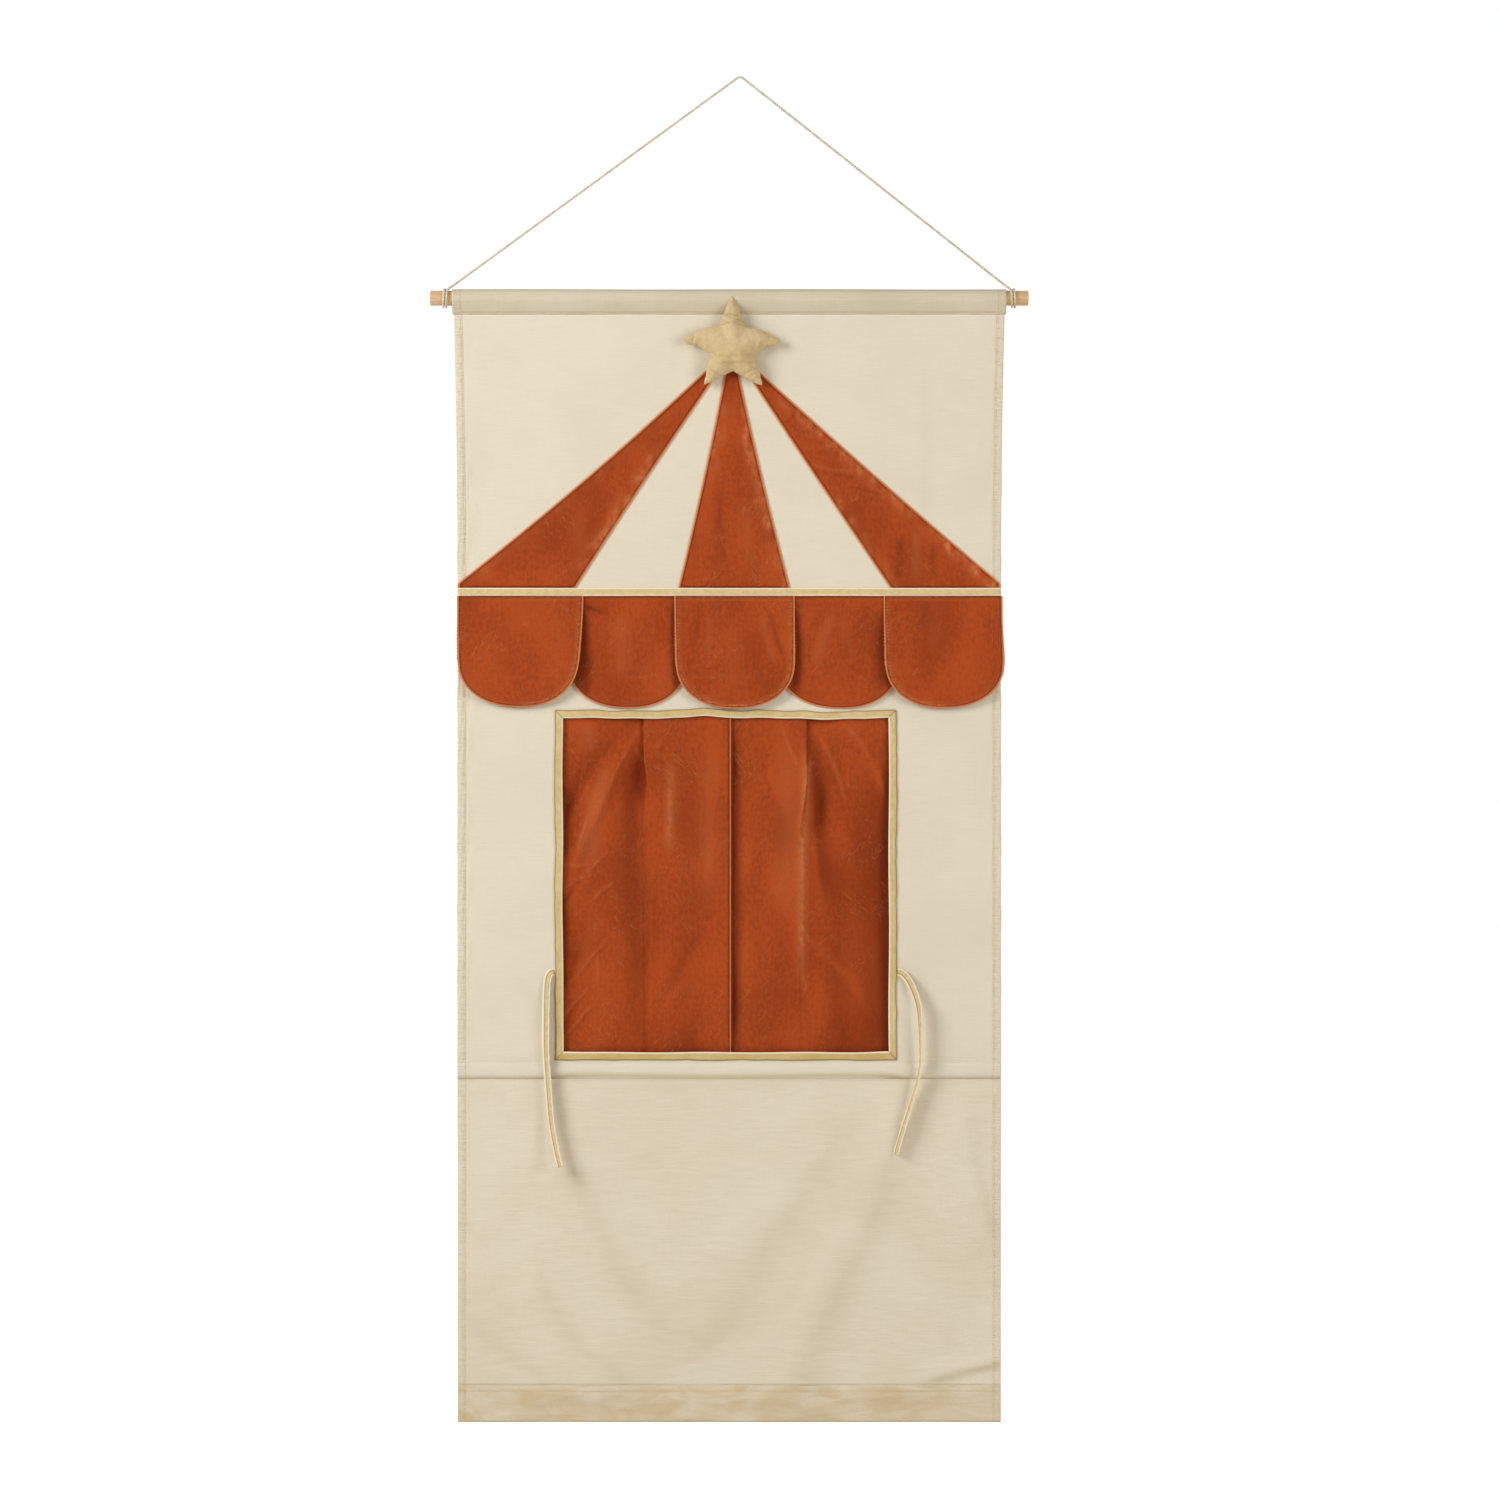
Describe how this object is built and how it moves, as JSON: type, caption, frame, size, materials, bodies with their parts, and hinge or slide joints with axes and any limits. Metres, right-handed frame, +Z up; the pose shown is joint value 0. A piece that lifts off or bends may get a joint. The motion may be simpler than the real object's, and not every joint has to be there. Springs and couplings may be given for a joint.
{
  "type": "hanging puppet theatre",
  "caption": "Cloth puppet theatre banner with tent roof, scalloped valance and curtained stage window, hung on a wooden dowel from a cotton cord.",
  "frame": {"origin": "underside of the cord at the point where it hangs over a nail or hook", "axes": "+Z up, the banner's front towards -Y, +X to the right seen from the front"},
  "size_m": [0.8, 0.0568, 1.8013],
  "materials": {
    "dowel_wood": "sanded, bare",
    "cotton_cord": "three-strand twist",
    "canvas": "plain weave cotton",
    "sleeve_canvas": "plain weave cotton",
    "rust_velvet": "short pile velvet",
    "sand_velvet": "short pile velvet",
    "sand_tape": "folded velvet tape"
  },
  "bodies": {
    "hanger": {"dowel": "dowel_wood", "hanging_cord": "cotton_cord", "cord_wrap_left": "cotton_cord", "cord_wrap_right": "cotton_cord", "knot_left": "cotton_cord", "knot_right": "cotton_cord"},
    "banner": {"rod_sleeve": "sleeve_canvas", "front_panel": "canvas", "roof_stripe_left": "rust_velvet", "roof_stripe_centre": "rust_velvet", "roof_stripe_right": "rust_velvet", "roof_binding": "sand_tape", "window_binding_top": "sand_tape", "window_binding_right": "sand_tape", "window_binding_bottom": "sand_tape", "window_binding_left": "sand_tape", "sill_casing": "canvas", "spreader_bar": "dowel_wood", "star": "sand_velvet"},
    "valance": {"scallop_1": "rust_velvet", "scallop_2": "rust_velvet", "scallop_3": "rust_velvet", "scallop_4": "rust_velvet", "scallop_5": "rust_velvet"},
    "curtain_left": {"curtain_left": "rust_velvet"},
    "curtain_right": {"curtain_right": "rust_velvet"},
    "skirt": {"skirt_panel": "canvas"},
    "tie_left": {"tie_left": "sand_tape"},
    "tie_right": {"tie_right": "sand_tape"}
  },
  "joints": [
    {"name": "banner_swing", "type": "hinge", "parent": "hanger", "child": "banner", "pos_m": [-0.0144, 0, -0.294], "axis": [1, 0, 0], "range_deg": [-75, 75]},
    {"name": "valance_lift", "type": "hinge", "parent": "banner", "child": "valance", "pos_m": [-0.0144, -0.0036, -0.6925], "axis": [-1, 0, 0], "range_deg": [0, 80]},
    {"name": "curtain_left_draw", "type": "slide", "parent": "banner", "child": "curtain_left", "axis": [-1, 0, 0], "range_m": [0, 0.12]},
    {"name": "curtain_right_draw", "type": "slide", "parent": "banner", "child": "curtain_right", "axis": [1, 0, 0], "range_m": [0, 0.12]},
    {"name": "skirt_swing", "type": "hinge", "parent": "banner", "child": "skirt", "pos_m": [-0.0144, 0.0018, -1.3393], "axis": [1, 0, 0], "range_deg": [0, 80]},
    {"name": "tie_left_lift", "type": "hinge", "parent": "banner", "child": "tie_left", "pos_m": [-0.2528, -0.0036, -1.1895], "axis": [-1, 0, 0], "range_deg": [0, 80]},
    {"name": "tie_right_lift", "type": "hinge", "parent": "banner", "child": "tie_right", "pos_m": [0.2156, -0.0036, -1.1905], "axis": [-1, 0, 0], "range_deg": [0, 80]}
  ]
}
